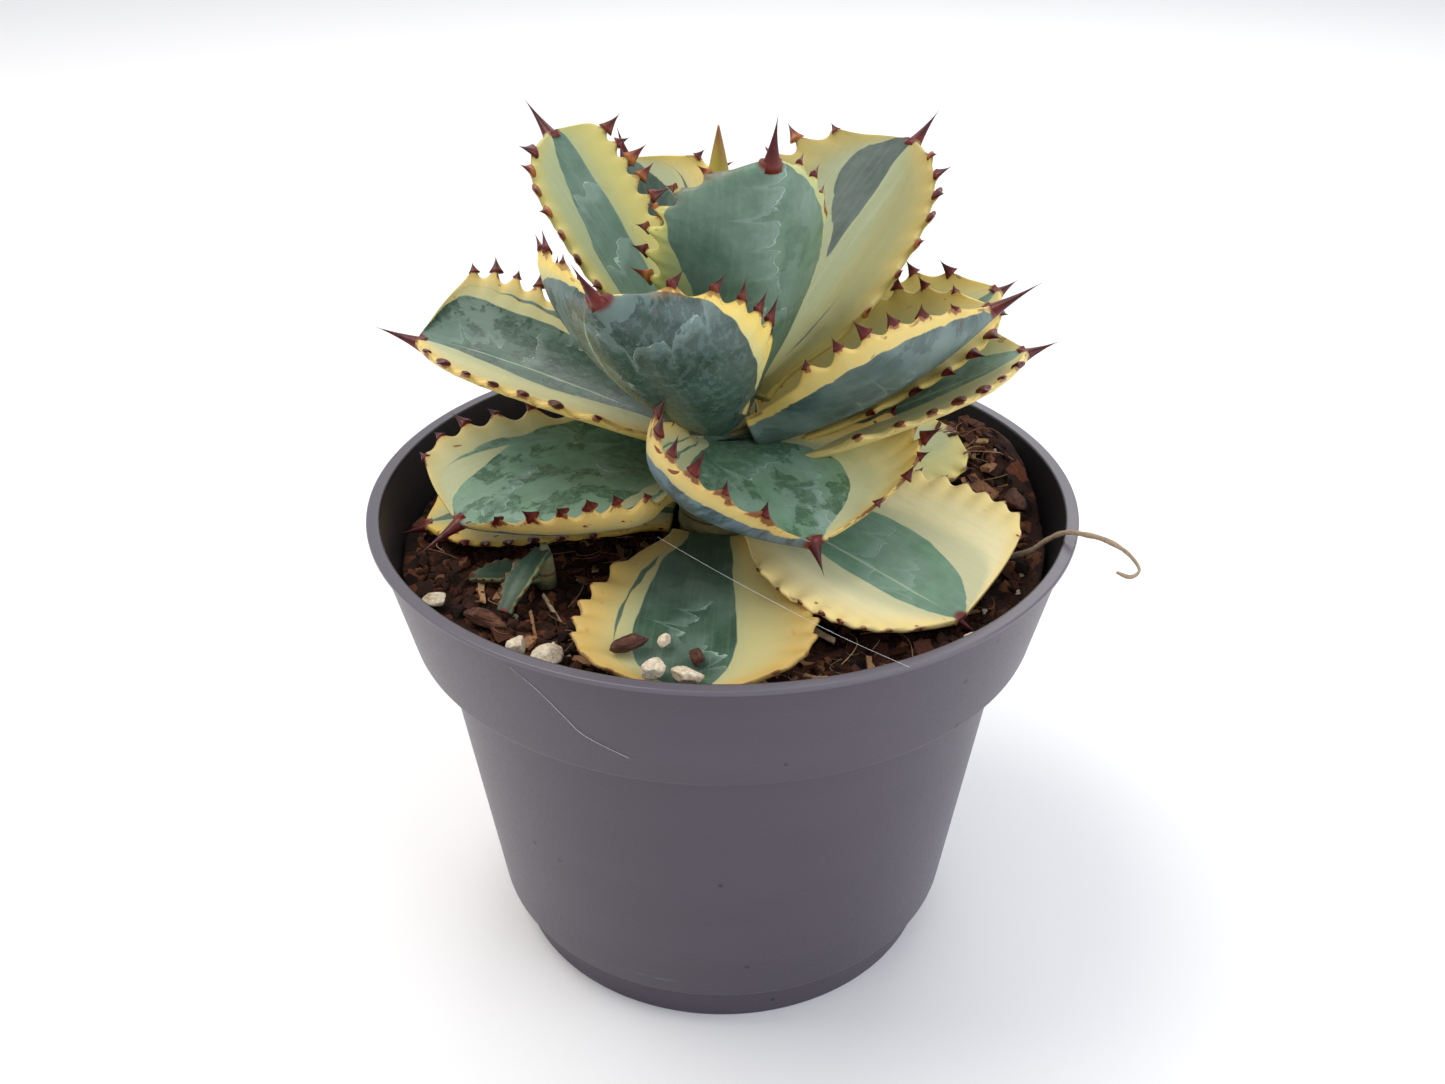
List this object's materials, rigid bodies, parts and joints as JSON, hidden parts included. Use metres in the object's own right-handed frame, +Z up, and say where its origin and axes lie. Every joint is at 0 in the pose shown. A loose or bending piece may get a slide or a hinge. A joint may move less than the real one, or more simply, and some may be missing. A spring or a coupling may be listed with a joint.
{
  "type": "potted variegated butterfly agave",
  "caption": "Compact rosette of broad toothed leaves with yellow margins on a short stem, in a filled round nursery pot that stands on its flat base.",
  "frame": {"origin": "centre of the pot's flat underside", "axes": "+Z up along the pot's axis, -Y towards the viewer of the picture, +X to the viewer's right"},
  "size_m": [0.1249, 0.12, 0.1527],
  "materials": {
    "pot": "satin, warm grey injection-moulded plastic",
    "soil": "rough bark and coir crumbs",
    "stem": "dull, dry",
    "leaf": "satin living leaf with a waxy bloom, green centre and yellow margins",
    "bud": "satin",
    "offset": "satin",
    "dry_root": "dry, fibrous",
    "pumice": "rough, porous",
    "bark": "rough"
  },
  "bodies": {
    "root": {"pot": "pot", "soil": "soil", "stem": "stem", "leaf_low_front": "leaf", "leaf_low_left": "leaf", "leaf_low_right": "leaf", "leaf_low_left_rear": "leaf", "leaf_low_front_right": "leaf", "leaf_low_rear": "leaf", "leaf_second_left": "leaf", "leaf_second_front": "leaf", "leaf_second_rear": "leaf", "leaf_second_left_rear": "leaf", "leaf_second_right": "leaf", "leaf_third_right_rear": "leaf", "leaf_third_left": "leaf", "leaf_third_rear": "leaf", "leaf_third_right": "leaf", "leaf_upper_rear": "leaf", "leaf_third_front": "leaf", "leaf_upper_left": "leaf", "leaf_upper_right": "leaf", "leaf_upper_front": "leaf", "bud_spear": "bud", "offset_shoot": "offset", "dry_root": "dry_root", "pumice_front": "pumice", "pumice_front_left": "pumice", "pumice_left": "pumice", "pumice_front_right": "pumice", "pumice_rear": "pumice", "pumice_on_leaf_left": "pumice", "pumice_on_leaf_right": "pumice", "pumice_on_leaf_top": "pumice", "bark_on_leaf_left": "bark", "bark_on_leaf_right": "bark", "bark_right": "bark", "bark_front_left": "bark", "bark_front_right": "bark", "bark_rear": "bark"}
  },
  "joints": []
}
